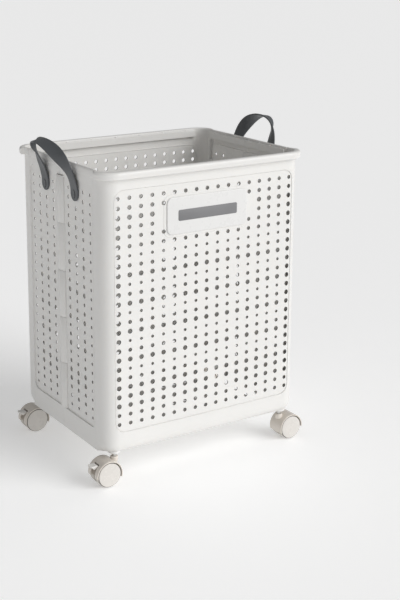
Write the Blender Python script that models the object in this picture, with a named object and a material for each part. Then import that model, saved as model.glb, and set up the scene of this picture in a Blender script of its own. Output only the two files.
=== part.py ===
"""Folding wheeled linen basket: two shells, four hinged side leaves, a lift-up floor, two strap handles, four twin-wheel casters of which the left two are braked.

Frame: metres, +Z up, front towards -Y, origin on the ground under the middle of the body.
"""
import math

import bmesh
import bpy
from mathutils import Matrix, Vector

MM = 0.001

# Driving dimensions, in millimetres
HALF_W = 221.0          # outer face of the sides
HALF_D = 174.5          # outer face of the front and back
CORNER_R = 30.0
WALL = 2.5
Z_BOTTOM = 62.0
Z_RIM = 588.5           # underside of the rim
Z_TOP = 603.0
RIM_OVERHANG = 10.5
SEAM_Y = 130.5          # where a shell ends and a side leaf begins
AXIS_X = 215.0          # corner hinge axis
AXIS_Y = 137.0
MID_OUT = 7.0           # middle hinge axis stands this far outside the corner axes
LEAF_FACE = 6.0         # outer face of a leaf's bands, from the corner axis
LEAF_SKIN = 3.6         # outer face of its perforated field
LEAF_IN = 1.2           # inner face of the field
FIELD_Z = (103.5, 574.0)
STRIP = 14.0            # half width of the middle hinge strip
KNUCKLES_SHELL = ((86.0, 119.8), (180.2, 299.8), (360.2, 479.8), (540.2, 582.0))
KNUCKLES_LEAF = ((120.2, 179.8), (300.2, 359.8), (480.2, 539.8))
PIN_R = 1.5
BORE_R = 1.85
STEM_X = 195.0
STEM_Y = 154.0
TRAIL = 19.0
WHEEL_R = 24.5
HOOD_R = 27.5
FLOOR_AXIS = (156.0, 58.0)   # y, z
STRAP_W = 29.0
STRAP_T = 2.8
STRAP_Y = 60.0

for old in list(bpy.data.objects):
    bpy.data.objects.remove(old)

model = bpy.data.collections.new("linen_trolley")
bpy.context.scene.collection.children.link(model)
tools = bpy.data.collections.new("cutters")
bpy.context.scene.collection.children.link(tools)
tools.hide_render = True


def material(name, colour, roughness, metallic=0.0):
    mat = bpy.data.materials.new(name)
    mat.use_nodes = True
    bsdf = mat.node_tree.nodes["Principled BSDF"]
    bsdf.inputs["Base Color"].default_value = (*colour, 1.0)
    bsdf.inputs["Roughness"].default_value = roughness
    bsdf.inputs["Metallic"].default_value = metallic
    return mat


WHITE = (0.83, 0.82, 0.80)
CREAM = (0.78, 0.73, 0.66)
STEEL = (0.62, 0.61, 0.60)
GREY = (0.075, 0.08, 0.085)
LABEL = (0.80, 0.79, 0.77)


def finish(name, bm, colour, roughness, metallic=0.0, origin=(0, 0, 0), collection=model):
    """Turns a bmesh in millimetres into an object whose origin is at origin."""
    bmesh.ops.recalc_face_normals(bm, faces=bm.faces)
    shift = Vector(origin)
    for v in bm.verts:
        v.co = (v.co - shift) * MM
    mesh = bpy.data.meshes.new(name)
    bm.to_mesh(mesh)
    bm.free()
    if mesh.polygons:
        mesh.shade_smooth()
        mesh.set_sharp_from_angle(angle=math.radians(32))
    obj = bpy.data.objects.new(name, mesh)
    obj.location = shift * MM
    collection.objects.link(obj)
    if collection is model:
        mesh.materials.append(material(name, colour, roughness, metallic))
    else:
        obj.hide_render = True
        obj.display_type = "WIRE"
    return obj


def box(bm, low, high):
    size = [h - l for l, h in zip(low, high)]
    mid = [(h + l) / 2 for l, h in zip(low, high)]
    made = bmesh.ops.create_cube(bm, size=1.0)
    for v in made["verts"]:
        v.co = Vector((v.co.x * size[0] + mid[0], v.co.y * size[1] + mid[1], v.co.z * size[2] + mid[2]))
    return made["verts"]


def rod(bm, start, end, radius, sides=12, turn=0.0):
    a, b = Vector(start), Vector(end)
    along = b - a
    place = Matrix.Translation((a + b) / 2) @ along.to_track_quat("Z", "Y").to_matrix().to_4x4()
    place = place @ Matrix.Rotation(turn, 4, "Z")
    bmesh.ops.create_cone(bm, cap_ends=True, segments=sides, radius1=radius, radius2=radius, depth=along.length, matrix=place)


def prism(bm, outline, place, low, high):
    """Extrudes a closed outline of pairs. place(a, b, c) gives the point of pair (a, b) at height c."""
    bottom = [bm.verts.new(place(a, b, low)) for a, b in outline]
    top = [bm.verts.new(place(a, b, high)) for a, b in outline]
    n = len(outline)
    bm.faces.new(bottom)
    bm.faces.new(list(reversed(top)))
    for i in range(n):
        j = (i + 1) % n
        bm.faces.new((bottom[i], top[i], top[j], bottom[j]))


def loft(bm, rings):
    """Closed sections of equal count, joined in order and capped."""
    made = [[bm.verts.new(p) for p in ring] for ring in rings]
    n = len(made[0])
    for r0, r1 in zip(made, made[1:]):
        for i in range(n):
            j = (i + 1) % n
            bm.faces.new((r0[i], r0[j], r1[j], r1[i]))
    bm.faces.new(list(reversed(made[0])))
    bm.faces.new(made[-1])


def boolean(obj, other, operation):
    mod = obj.modifiers.new(operation.lower(), "BOOLEAN")
    mod.operation = operation
    mod.solver = "EXACT"
    mod.object = other


def helper(name, build):
    bm = bmesh.new()
    build(bm)
    return finish(name, bm, None, 0, collection=tools)


# ---------------------------------------------------------------- shells
def lerp(a, b, t):
    return a + (b - a) * t


# Wall section as (inset from the outer face, height), from the rim down the outside
SECTION_FRONT = [
    (0.0, Z_RIM), (-9.0, Z_RIM), (-RIM_OVERHANG, 590.5), (-RIM_OVERHANG, 599.0), (-7.0, Z_TOP), (0.5, Z_TOP),
    (WALL, 601.0), (WALL, 83.0), (6.0, 72.0), (12.0, 67.2), (19.0, 65.4), (28.0, 64.9),
    (28.0, Z_BOTTOM), (18.0, Z_BOTTOM), (10.0, 64.3), (3.8, 70.0), (0.0, 82.0),
]
SECTION_RETURN = [
    (0.0, Z_RIM), (-0.8, Z_RIM), (-1.5, 590.5), (-1.5, 599.0), (-0.8, Z_TOP), (0.5, Z_TOP),
    (WALL, 601.0), (WALL + 0.02, 83.0), (WALL + 0.05, 77.0), (WALL + 0.1, 72.0), (WALL + 0.2, 68.0), (WALL + 0.35, 65.0),
    (WALL + 0.2, Z_BOTTOM), (1.8, Z_BOTTOM - 0.1), (0.9, Z_BOTTOM + 0.4), (0.1, 64.0), (0.04, 82.0),
]


def shell_stations():
    """(point, outward normal, share of the return section) round the U, from the -X seam to the +X seam, for the shell at +Y."""
    cx, cy = HALF_W - CORNER_R, HALF_D - CORNER_R
    out = [((-HALF_W, SEAM_Y), (-1, 0), 1.0), ((-HALF_W, 142.0), (-1, 0), 1.0)]
    steps = 7
    for side in (-1, 1):
        for k in range(steps + 1):
            a = math.pi / 2 * k / steps
            if side < 0:
                n = (-math.cos(a), math.sin(a))
            else:
                n = (math.sin(a), math.cos(a))
            out.append(((side * cx + n[0] * CORNER_R, cy + n[1] * CORNER_R), n, 0.0))
    out += [((HALF_W, 142.0), (1, 0), 1.0), ((HALF_W, SEAM_Y), (1, 0), 1.0)]
    return out


def shell_wall(bm, sy):
    rings = []
    for (px, py), (nx, ny), share in shell_stations():
        ring = []
        for (d0, z0), (d1, z1) in zip(SECTION_FRONT, SECTION_RETURN):
            d, z = lerp(d0, d1, share), lerp(z0, z1, share)
            ring.append((px - nx * d, sy * (py - ny * d), z))
        rings.append(ring)
    loft(bm, rings)


def make_shell(name, sy):
    bm = bmesh.new()
    shell_wall(bm, sy)
    bmesh.ops.triangulate(bm, faces=bm.faces)
    obj = finish(name, bm, WHITE, 0.38)

    for sx in (-1, 1):

        def blocks(b):
            for z0, z1 in KNUCKLES_SHELL:
                outline = [(4.6, -2.9), (4.6, 2.9), (0.6, 3.1), (-1.8, 2.4), (-3.0, 0.9), (-3.0, -0.9), (-1.8, -2.4), (0.6, -3.1)]
                prism(b, outline, lambda u, v, z: (sx * (AXIS_X + u), sy * (AXIS_Y + v), z), z0, z1)
        boolean(obj, helper(f"{name}_knuckles_{sx}", blocks), "UNION")
    if sy > 0:
        def ears(b):
            for x0, x1 in ((28.0, 39.7), (70.3, 82.0), (-39.7, -28.0), (-82.0, -70.3)):
                box(b, (x0, 151.5, 54.0), (x1, 160.5, 64.0))
        boolean(obj, helper(f"{name}_ears", ears), "UNION")

        def slots(b):
            for s in (-1, 1):
                low, high = sorted((s * 39.7, s * 70.3))
                box(b, (low, 146.0 - 6, 52.0), (high, 162.6, 68.4))
        boolean(obj, helper(f"{name}_slots", slots), "DIFFERENCE")
        boolean(obj, helper(f"{name}_floor_bore", lambda b: rod(b, (-90, *FLOOR_AXIS), (90, *FLOOR_AXIS), 2.35, 12)), "DIFFERENCE")
    for sx in (-1, 1):
        boolean(obj, helper(f"{name}_pin_bore_{sx}", lambda b: rod(b, (sx * AXIS_X, sy * AXIS_Y, 80.0), (sx * AXIS_X, sy * AXIS_Y, 586.0), BORE_R, 12)), "DIFFERENCE")
        boolean(obj, helper(f"{name}_socket_bore_{sx}", lambda b: rod(b, (sx * STEM_X, sy * STEM_Y, 58.0), (sx * STEM_X, sy * STEM_Y, 75.0), 7.4, 16, 0.11)), "DIFFERENCE")
    return obj


back_shell = make_shell("back_shell", 1)
front_shell = make_shell("front_shell", -1)

bm = bmesh.new()
plate = []
for cx, cz, start in ((90 - 12, 542.8 - 12, 0), (-90 + 12, 542.8 - 12, 90), (-90 + 12, 472.6 + 12, 180), (90 - 12, 472.6 + 12, 270)):
    for k in range(5):
        a = math.radians(start + 22.5 * k)
        plate.append((cx + 12 * math.cos(a), cz + 12 * math.sin(a)))
prism(bm, plate, lambda a, b, c: (a, c, b), -HALF_D - 1.8, -HALF_D - 0.3)
finish("label_plate", bm, LABEL, 0.35)


# ---------------------------------------------------------------- side leaves
def leaf_point(sx, sy):
    """u outward from the corner axis, v from it towards the middle."""
    return lambda u, v, z: (sx * (AXIS_X + u), sy * (AXIS_Y - v), z)


V0 = AXIS_Y - SEAM_Y + 0.6
V_FIELD = AXIS_Y - STRIP - 0.4
V_BAND = AXIS_Y - 0.3
SEG = (572.0 - 105.0) / 5

# Leaf section as (u, z): field recessed between a bottom rail and a top band
LEAF_SECTION = [
    (LEAF_FACE, 64.0), (LEAF_FACE, FIELD_Z[0]), (LEAF_SKIN, FIELD_Z[0] + 1.5), (LEAF_SKIN, FIELD_Z[1] - 1.5), (LEAF_FACE, FIELD_Z[1]),
    (LEAF_FACE, 586.5), (LEAF_FACE + 1.0, 588.0), (LEAF_FACE + 0.6, Z_TOP - 1.5), (LEAF_FACE - 1.5, Z_TOP), (-4.5, Z_TOP), (-6.0, Z_TOP - 1.5), (-6.0, 590.0), (LEAF_IN, 588.5),
    (LEAF_IN, 100.0), (LEAF_FACE - WALL, 98.0), (LEAF_FACE - WALL, Z_BOTTOM), (LEAF_FACE - 1.2, Z_BOTTOM),
]


def make_leaf(name, sx, sy, owned):
    place = leaf_point(sx, sy)
    bm = bmesh.new()
    prism(bm, LEAF_SECTION, lambda u, z, v: place(min(u, 6.0) if False else u, v, z), V0, V_BAND)
    obj = finish(name, bm, WHITE, 0.38)
    # The field stops at the hinge strip
    boolean(obj, helper(f"{name}_strip_gap", lambda b: prism(b, [(-20, V_FIELD), (20, V_FIELD), (20, AXIS_Y + 5), (-20, AXIS_Y + 5)], place, 104.7, 572.3)), "DIFFERENCE")

    def flaps(b):
        outline = [(3.4, -16.0), (6.2, -12.0), (9.2, -3.2), (9.9, 0.0), (9.2, 3.2), (6.2, 12.0), (5.0, STRIP), (2.8, STRIP), (2.4, -16.0)]
        for k in owned:
            z0, z1 = 105.0 + SEG * k + 0.2, 105.0 + SEG * (k + 1) - 0.2
            prism(b, [(u, AXIS_Y + dv) for u, dv in outline], place, z0, z1)
    boolean(obj, helper(f"{name}_flaps", flaps), "UNION")

    def arms(b):
        outline = [(-3.0, -0.9), (-1.8, -2.4), (0.6, -3.1), (2.4, -2.0), (3.1, 0.0), (3.1, V0 + 1.4), (1.6, V0 + 1.4), (-0.6, 3.1), (-1.8, 2.4), (-3.0, 0.9)]
        for z0, z1 in KNUCKLES_LEAF:
            prism(b, outline, place, z0, z1)
    boolean(obj, helper(f"{name}_arms", arms), "UNION")
    # Floor ledge
    boolean(obj, helper(f"{name}_ledge", lambda b: prism(b, [(-15, 40), (4.6, 40), (4.6, V_BAND), (-15, V_BAND)], place, 66.5, 69.0)), "UNION")
    boolean(obj, helper(f"{name}_mid_bore", lambda b: rod(b, place(MID_OUT, AXIS_Y, 100), place(MID_OUT, AXIS_Y, 576), BORE_R, 12)), "DIFFERENCE")
    boolean(obj, helper(f"{name}_corner_bore", lambda b: rod(b, place(0, 0, 80), place(0, 0, 586), BORE_R, 12)), "DIFFERENCE")
    return obj


LEAVES = (("left_rear_leaf", -1, 1, (0, 2, 4)), ("left_front_leaf", -1, -1, (1, 3)), ("right_rear_leaf", 1, 1, (0, 2, 4)), ("right_front_leaf", 1, -1, (1, 3)))
for leaf in LEAVES:
    make_leaf(*leaf)

for side, sx in (("left", -1), ("right", 1)):
    for where, y in (("rear", AXIS_Y), ("front", -AXIS_Y)):
        bm = bmesh.new()
        rod(bm, (sx * AXIS_X, y, 84.5), (sx * AXIS_X, y, 581.5), PIN_R, 12)
        finish(f"{side}_{where}_hinge_pin", bm, STEEL, 0.3, 1.0, origin=(sx * AXIS_X, y, 0))
    bm = bmesh.new()
    rod(bm, (sx * (AXIS_X + MID_OUT), 0, 105.6), (sx * (AXIS_X + MID_OUT), 0, 571.4), PIN_R, 12)
    finish(f"{side}_mid_hinge_pin", bm, STEEL, 0.3, 1.0, origin=(sx * (AXIS_X + MID_OUT), 0, 0))

# ---------------------------------------------------------------- floor
FY, FZ = FLOOR_AXIS
bm = bmesh.new()
prism(bm, [(-185, -138), (-181, -142), (181, -142), (185, -138), (185, 127), (181, 131), (-181, 131), (-185, 127)], lambda a, b, c: (a, b, c), 55.5, 61.0)
floor = finish("floor_panel", bm, WHITE, 0.42)
for s in (-1, 1):
    outline = [(125.0, 55.5), (FY, 54.6), (FY + 2.4, 55.6), (FY + 3.4, FZ), (FY + 2.4, 60.4), (FY, 61.0), (125.0, 61.0)]
    low, high = sorted((s * 40.0, s * 70.0))
    boolean(floor, helper(f"floor_lug_{s}", lambda b: prism(b, outline, lambda y, z, x: (x, y, z), low, high)), "UNION")
boolean(floor, helper("floor_pin_bore", lambda b: rod(b, (-90, FY, FZ), (90, FY, FZ), 2.35, 12)), "DIFFERENCE")
# Finger hole for lifting the floor
boolean(floor, helper("floor_finger_hole", lambda b: rod(b, (0, -108, 50), (0, -108, 66), 14.0, 20)), "DIFFERENCE")

bm = bmesh.new()
rod(bm, (-81.5, FY, FZ), (81.5, FY, FZ), 1.9, 12)
finish("floor_hinge_pin", bm, STEEL, 0.3, 1.0, origin=(0, FY, FZ))


# ---------------------------------------------------------------- strap handles
def strap_path(sx):
    """Centre line and outer-face normal from the front end over the rim to the rear end."""
    out = []
    steps = 34
    face = AXIS_X + LEAF_SKIN + 0.3 + STRAP_T / 2
    for i in range(steps + 1):
        t = i / steps
        # height profile: straight legs, then a round arch
        if t < 0.22 or t > 0.78:
            w = (t if t < 0.5 else 1 - t) / 0.22
            y = -STRAP_Y if t < 0.5 else STRAP_Y
            z = 546.0 + 22.0 * w
            lift, lean = 0.0, 0.0
        else:
            a = math.pi * (t - 0.22) / 0.56
            y = -STRAP_Y * math.cos(a)
            z = 568.0 + 72.0 * math.sin(a) ** 0.85
            lean = math.sin(a)
        out.append((face, y, z, lean))
    points = []
    for face, y, z, lean in out:
        clear = 12.5 * min(1.0, max(0.0, (z - 556.0) / 28.0))
        x = face + clear + 20.0 * max(0.0, (z - 590.0) / 50.0)
        points.append(Vector((sx * x, y, z)))
    frames = []
    for i, p in enumerate(points):
        a, b = points[max(i - 1, 0)], points[min(i + 1, len(points) - 1)]
        tangent = (b - a).normalized()
        rise = min(1.0, max(0.0, (p.z - 582.0) / 54.0))
        blend = rise * rise * (3 - 2 * rise)
        outward = Vector((sx, 0, 0))
        arch = tangent.cross(Vector((-1, 0, 0)))
        if arch.z < 0:
            arch = -arch
        normal = (outward * (1 - blend) + Vector((sx * 0.15, arch.y, arch.z)) * blend)
        normal = (normal - tangent * normal.dot(tangent)).normalized()
        frames.append((p, tangent, normal))
    return frames


def make_strap(name, sx):
    bm = bmesh.new()
    frames = strap_path(sx)
    rings = []
    last = len(frames) - 1

    def ring(p, across, normal, half):
        hw, ht = across * half, normal * (STRAP_T / 2)
        return [p - hw - ht, p + hw - ht, p + hw + ht, p - hw + ht]

    previous = None
    first_tangent = frames[0][1]
    for s in (0.15, 0.45, 0.8):
        p, tangent, normal = frames[0]
        half = STRAP_W / 2 * math.sqrt(1 - (1 - s) ** 2)
        rings.append(ring(p - tangent * (STRAP_W / 2) * (1 - s), tangent.cross(normal), normal, half))
    for p, tangent, normal in frames:
        rings.append(ring(p, tangent.cross(normal), normal, STRAP_W / 2))
    for s in (0.8, 0.45, 0.15):
        p, tangent, normal = frames[last]
        half = STRAP_W / 2 * math.sqrt(1 - (1 - s) ** 2)
        rings.append(ring(p + tangent * (STRAP_W / 2) * (1 - s), tangent.cross(normal), normal, half))
    loft(bm, rings)
    obj = finish(name, bm, GREY, 0.55)
    for sy in (-1, 1):
        boolean(obj, helper(f"{name}_hole_{sy}", lambda b: rod(b, (sx * 210, sy * STRAP_Y, 549), (sx * 230, sy * STRAP_Y, 549), 5.0, 12)), "DIFFERENCE")


for side, sx in (("left", -1), ("right", 1)):
    make_strap(f"{side}_strap", sx)
    for where, sy in (("rear", 1), ("front", -1)):
        bm = bmesh.new()
        rod(bm, (sx * (AXIS_X + LEAF_SKIN + 0.3), sy * STRAP_Y, 549), (sx * (AXIS_X + LEAF_SKIN + 2.9), sy * STRAP_Y, 549), 4.6, 12)
        finish(f"{side}_{where}_strap_stud", bm, GREY, 0.5)


# ---------------------------------------------------------------- casters
def lathe_y(bm, profile, cx, cz, sides):
    """Closed ring section of (radius, y) pairs turned about a line along Y."""
    rings = []
    for k in range(sides):
        a = 2 * math.pi * k / sides
        rings.append([bm.verts.new((cx + r * math.cos(a), y, cz + r * math.sin(a))) for r, y in profile])
    n = len(profile)
    for k in range(sides):
        r0, r1 = rings[k], rings[(k + 1) % sides]
        for i in range(n):
            j = (i + 1) % n
            bm.faces.new((r0[i], r0[j], r1[j], r1[i]))


def sector(bm, r0, r1, a0, a1, y0, y1, steps, wx, wz):
    outer = [(wx + r1 * math.cos(math.radians(lerp(a0, a1, k / steps))), wz + r1 * math.sin(math.radians(lerp(a0, a1, k / steps)))) for k in range(steps + 1)]
    inner = [(wx + r0 * math.cos(math.radians(lerp(a1, a0, k / steps))), wz + r0 * math.sin(math.radians(lerp(a1, a0, k / steps)))) for k in range(steps + 1)]
    prism(bm, outer + inner, lambda x, z, y: (x, y, z), y0, y1)


def make_caster(tag, sx, sy):
    ox, oy = sx * STEM_X, sy * STEM_Y

    def put(obj_bm):
        for v in obj_bm.verts:
            v.co = Vector((ox + sx * v.co.x, oy + v.co.y, v.co.z))

    wheel_c = (ox + sx * TRAIL, oy, WHEEL_R)
    # socket and stem
    bm = bmesh.new()
    rings = []
    for k in range(16):
        a = 2 * math.pi * k / 16
        rings.append([bm.verts.new((r * math.cos(a), r * math.sin(a), z)) for r, z in ((4.35, 59.4), (8.2, 59.4), (8.2, 61.0), (7.0, 61.0), (7.0, 81.2), (4.35, 81.2))])
    for k in range(16):
        r0, r1 = rings[k], rings[(k + 1) % 16]
        for i in range(6):
            j = (i + 1) % 6
            bm.faces.new((r0[i], r0[j], r1[j], r1[i]))
    put(bm)
    finish(f"caster_{tag}_socket", bm, WHITE, 0.45, origin=(ox, oy, 0))
    bm = bmesh.new()
    rod(bm, (0, 0, 48.4), (0, 0, 80.8), 4.0, 16)
    put(bm)
    finish(f"caster_{tag}_stem", bm, STEEL, 0.25, 1.0, origin=(ox, oy, 0))

    # hood: a full-width arched cover on a thin middle web, with the stem's boss
    bm = bmesh.new()
    braked = sx < 0
    sector(bm, 25.6, HOOD_R, 52 if braked else -4, 196, -19.0, 19.0, 12 if braked else 17, TRAIL, WHEEL_R)
    put(bm)
    hood = finish(f"caster_{tag}_hood", bm, CREAM, 0.3, origin=(ox, oy, 0))

    def tool(name, build):
        def run(b):
            build(b)
            put(b)
        return helper(f"caster_{tag}_{name}", run)

    def cheeks(b):
        sector(b, 25.7, HOOD_R - 0.1, -4, 58, -18.9, -8.0, 5, TRAIL, WHEEL_R)
        sector(b, 25.7, HOOD_R - 0.1, -4, 58, 8.0, 18.9, 5, TRAIL, WHEEL_R)
    if braked:
        boolean(hood, tool("cheeks", cheeks), "UNION")

    def web(b):
        outline = [(TRAIL + 26.5 * math.cos(math.radians(a)), WHEEL_R + 26.5 * math.sin(math.radians(a))) for a in range(56, 195, 12)]
        outline += [(-5.0, 15.0), (12.0, 12.0), (22.0, 13.5), (30.0, 22.0)]
        prism(b, outline, lambda x, z, y: (x, y, z), -2.6, 2.6)
    boolean(hood, tool("web", web), "UNION")
    boolean(hood, tool("boss", lambda b: rod(b, (0, 0, 46.6), (0, 0, 53.4), 7.6, 16)), "UNION")
    boolean(hood, tool("stem_bore", lambda b: rod(b, (0, 0, 48.1), (0, 0, 60), 4.35, 16)), "DIFFERENCE")
    boolean(hood, tool("axle_bore", lambda b: rod(b, (TRAIL, -5, WHEEL_R), (TRAIL, 5, WHEEL_R), 3.2, 12)), "DIFFERENCE")

    bm = bmesh.new()
    rod(bm, (TRAIL, -16.4, WHEEL_R), (TRAIL, 16.4, WHEEL_R), 2.8, 12)
    put(bm)
    finish(f"caster_{tag}_axle", bm, STEEL, 0.3, 1.0, origin=wheel_c)

    for label, s in (("outer", sy), ("inner", -sy)):
        bm = bmesh.new()
        profile = [(3.2, 3.3), (9.0, 3.3), (20.0, 4.6), (23.0, 3.3), (WHEEL_R, 4.8), (WHEEL_R, 16.9), (23.4, 18.3), (20.0, 17.2), (3.2, 17.2)]
        lathe_y(bm, [(r, s * y) for r, y in profile], TRAIL, WHEEL_R, 24)
        put(bm)
        finish(f"caster_{tag}_wheel_{label}", bm, CREAM, 0.35, origin=wheel_c)

    if not braked:
        return
    # brake lever: a tab between the cheeks, over the trailing opening
    pivot = (TRAIL + 20.6, WHEEL_R + 18.4)
    bm = bmesh.new()
    outline = [(pivot[0] - 1.5, 42.1), (pivot[0] + 3.0, 39.2), (pivot[0] + 6.5, 37.6), (pivot[0] + 9.0, 39.4), (55.6, 43.4), (55.6, 45.6), (pivot[0] + 8.0, 45.4), (pivot[0] + 1.0, 45.2)]
    prism(bm, outline, lambda x, z, y: (x, y, z), -7.6, 7.6)
    put(bm)
    finish(f"caster_{tag}_brake", bm, CREAM, 0.3, origin=(ox + sx * pivot[0], oy, pivot[1]))


for tag, sx, sy in (("fl", -1, -1), ("fr", 1, -1), ("rl", -1, 1), ("rr", 1, 1)):
    make_caster(tag, sx, sy)
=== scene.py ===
"""Visual model of the folding linen trolley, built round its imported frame."""
import math

import bmesh
import bpy
from mathutils import Matrix, Vector, geometry


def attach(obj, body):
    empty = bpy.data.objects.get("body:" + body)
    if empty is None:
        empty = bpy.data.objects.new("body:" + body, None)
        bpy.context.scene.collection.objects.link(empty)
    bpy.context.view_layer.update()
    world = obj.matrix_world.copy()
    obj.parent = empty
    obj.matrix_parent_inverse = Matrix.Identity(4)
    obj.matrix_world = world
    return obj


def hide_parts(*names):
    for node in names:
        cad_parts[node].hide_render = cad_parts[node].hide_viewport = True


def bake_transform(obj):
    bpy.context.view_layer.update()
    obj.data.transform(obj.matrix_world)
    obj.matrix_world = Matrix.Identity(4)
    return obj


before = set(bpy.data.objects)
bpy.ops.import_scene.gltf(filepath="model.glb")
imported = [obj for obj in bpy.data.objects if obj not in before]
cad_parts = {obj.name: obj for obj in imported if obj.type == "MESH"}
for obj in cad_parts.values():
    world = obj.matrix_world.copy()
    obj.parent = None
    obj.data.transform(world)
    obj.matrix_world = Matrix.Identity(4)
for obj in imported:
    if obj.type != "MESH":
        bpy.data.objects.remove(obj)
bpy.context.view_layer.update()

MM = 0.001
HALF_W, HALF_D, CORNER_R, WALL = 221.0, 174.5, 30.0, 2.2
SEAM_Y, AXIS_X, AXIS_Y = 130.5, 215.0, 137.0
PITCH_X, PITCH_Z, ROW_Z0, ROWS, COLS = 24.08, 18.0, 120.7, 25, 17
BIG, MEDIUM, SMALL = 4.75, 3.85, 2.95
CX, CY = HALF_W - CORNER_R, HALF_D - CORNER_R
V0 = AXIS_Y - SEAM_Y + 0.35
V_FIELD, V_BAND, STRIP = AXIS_Y - 14.4, AXIS_Y - 0.3, 14.0
SEG = (572.0 - 105.0) / 5


# ------------------------------------------------------------------ materials
def nodes_of(name):
    mat = bpy.data.materials.new(name)
    mat.use_nodes = True
    tree = mat.node_tree
    return mat, tree, tree.nodes["Principled BSDF"]


def plastic(name, colour, rough, grain=0.05, mottle=0.02, bump_scale=2600.0, coat=0.0, subsurface=0.0, hollow_shade_edge_highlight=0.03, flow=0.0):
    """Moulded plastic: faint cloudy colour, fine skin texture, scuffed patches that change the gloss."""
    mat, tree, bsdf = nodes_of(name)
    new, link = tree.nodes.new, tree.links.new
    coord = new("ShaderNodeTexCoord")
    cloud = new("ShaderNodeTexNoise")
    cloud.inputs["Scale"].default_value = 9.0
    cloud.inputs["Detail"].default_value = 4.0
    link(coord.outputs["Object"], cloud.inputs["Vector"])
    ramp = new("ShaderNodeMapRange")
    ramp.inputs["From Min"].default_value, ramp.inputs["From Max"].default_value = 0.3, 0.7
    ramp.inputs["To Min"].default_value, ramp.inputs["To Max"].default_value = 0.0, 1.0
    link(cloud.outputs["Fac"], ramp.inputs["Value"])
    mix = new("ShaderNodeMix")
    mix.data_type = "RGBA"
    mix.inputs["A"].default_value = (*[c * (1 - mottle) for c in colour], 1)
    mix.inputs["B"].default_value = (*[min(1.0, c * (1 + mottle)) for c in colour], 1)
    link(ramp.outputs["Result"], mix.inputs["Factor"])
    # painted shade and highlight: the colour is darkened a little in hollows and creases and lightened a little on
    # convex edges, read from pointiness
    geo = new("ShaderNodeNewGeometry")
    edge = new("ShaderNodeMapRange")
    edge.inputs["From Min"].default_value, edge.inputs["From Max"].default_value = 0.44, 0.56
    edge.inputs["To Min"].default_value, edge.inputs["To Max"].default_value = 1.0 - hollow_shade_edge_highlight, 1.0 + hollow_shade_edge_highlight
    link(geo.outputs["Pointiness"], edge.inputs["Value"])
    scale = new("ShaderNodeVectorMath")
    scale.operation = "SCALE"
    link(mix.outputs["Result"], scale.inputs[0])
    link(edge.outputs["Result"], scale.inputs["Scale"])
    link(scale.outputs["Vector"], bsdf.inputs["Base Color"])
    scuff = new("ShaderNodeTexNoise")
    scuff.inputs["Scale"].default_value = 55.0
    scuff.inputs["Detail"].default_value = 6.0
    scuff.inputs["Roughness"].default_value = 0.65
    link(coord.outputs["Object"], scuff.inputs["Vector"])
    rr = new("ShaderNodeMapRange")
    rr.inputs["From Min"].default_value, rr.inputs["From Max"].default_value = 0.35, 0.7
    rr.inputs["To Min"].default_value, rr.inputs["To Max"].default_value = rough - 0.05, rough + 0.07
    link(scuff.outputs["Fac"], rr.inputs["Value"])
    link(rr.outputs["Result"], bsdf.inputs["Roughness"])
    skin = new("ShaderNodeTexNoise")
    skin.inputs["Scale"].default_value = bump_scale
    skin.inputs["Detail"].default_value = 2.0
    link(coord.outputs["Object"], skin.inputs["Vector"])
    bump = new("ShaderNodeBump")
    bump.inputs["Strength"].default_value = grain
    bump.inputs["Distance"].default_value = 0.0004
    link(skin.outputs["Fac"], bump.inputs["Height"])
    last = bump
    if flow:
        wave = new("ShaderNodeTexNoise")
        wave.inputs["Scale"].default_value = 14.0
        wave.inputs["Detail"].default_value = 1.0
        link(coord.outputs["Object"], wave.inputs["Vector"])
        sink = new("ShaderNodeBump")
        sink.inputs["Strength"].default_value = flow
        sink.inputs["Distance"].default_value = 0.002
        link(wave.outputs["Fac"], sink.inputs["Height"])
        link(bump.outputs["Normal"], sink.inputs["Normal"])
        last = sink
    link(last.outputs["Normal"], bsdf.inputs["Normal"])
    bsdf.inputs["Coat Weight"].default_value = coat
    bsdf.inputs["Coat Roughness"].default_value = 0.12
    bsdf.inputs["Specular IOR Level"].default_value = 0.45
    if subsurface:
        bsdf.inputs["Subsurface Weight"].default_value = subsurface
        bsdf.inputs["Subsurface Radius"].default_value = (0.004, 0.0035, 0.003)
        bsdf.inputs["Subsurface Scale"].default_value = 1.0
    return mat


def metal(name, colour, rough):
    """Drawn, plated steel wire with fine lengthwise lines."""
    mat, tree, bsdf = nodes_of(name)
    new, link = tree.nodes.new, tree.links.new
    coord = new("ShaderNodeTexCoord")
    stretch = new("ShaderNodeMapping")
    stretch.inputs["Scale"].default_value = (900, 900, 12)
    link(coord.outputs["Object"], stretch.inputs["Vector"])
    lines = new("ShaderNodeTexNoise")
    lines.inputs["Scale"].default_value = 1.0
    lines.inputs["Detail"].default_value = 3.0
    link(stretch.outputs["Vector"], lines.inputs["Vector"])
    rr = new("ShaderNodeMapRange")
    rr.inputs["To Min"].default_value, rr.inputs["To Max"].default_value = rough - 0.08, rough + 0.15
    link(lines.outputs["Fac"], rr.inputs["Value"])
    link(rr.outputs["Result"], bsdf.inputs["Roughness"])
    mix = new("ShaderNodeMix")
    mix.data_type = "RGBA"
    mix.inputs["A"].default_value = (*[c * 0.85 for c in colour], 1)
    mix.inputs["B"].default_value = (*colour, 1)
    link(lines.outputs["Fac"], mix.inputs["Factor"])
    link(mix.outputs["Result"], bsdf.inputs["Base Color"])
    bump = new("ShaderNodeBump")
    bump.inputs["Strength"].default_value = 0.1
    bump.inputs["Distance"].default_value = 0.0002
    link(lines.outputs["Fac"], bump.inputs["Height"])
    link(bump.outputs["Normal"], bsdf.inputs["Normal"])
    bsdf.inputs["Metallic"].default_value = 1.0
    return mat


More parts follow.
